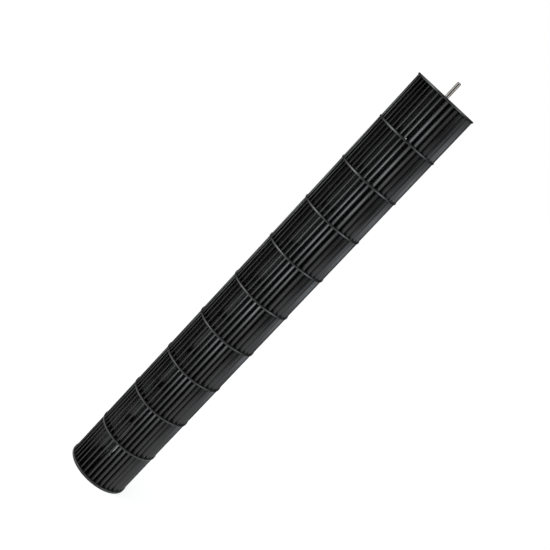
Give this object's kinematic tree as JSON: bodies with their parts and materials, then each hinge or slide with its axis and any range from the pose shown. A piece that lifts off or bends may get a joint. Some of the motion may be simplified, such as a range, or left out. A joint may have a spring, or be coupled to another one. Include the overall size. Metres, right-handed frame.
{
  "type": "cross flow fan",
  "caption": "Cross flow fan rotor: a long drum of forward-curved blades between rings, with a shaft hub at one end and a bearing shaft at the other.",
  "frame": {"origin": "centre of the motor end's flat outer face, on the fan's axis", "axes": "+Z along the fan's axis from the motor end to the bearing shaft, +Y towards the driver gap in front of the set screw"},
  "size_m": [0.098, 0.098, 0.7625],
  "materials": {
    "drum_plastic": "satin",
    "polished_steel": "polished",
    "bush_rubber": "matte",
    "sleeve_aluminium": "turned",
    "screw_steel": "zinc plated"
  },
  "bodies": {
    "root": {"motor_end_section": "drum_plastic", "middle_section_1": "drum_plastic", "middle_section_2": "drum_plastic", "middle_section_3": "drum_plastic", "middle_section_4": "drum_plastic", "middle_section_5": "drum_plastic", "middle_section_6": "drum_plastic", "middle_section_7": "drum_plastic", "middle_section_8": "drum_plastic", "middle_section_9": "drum_plastic", "shaft_end_cap": "drum_plastic", "bearing_shaft": "polished_steel", "rubber_bush": "bush_rubber", "hub_sleeve": "sleeve_aluminium", "set_screw": "screw_steel"}
  },
  "joints": []
}
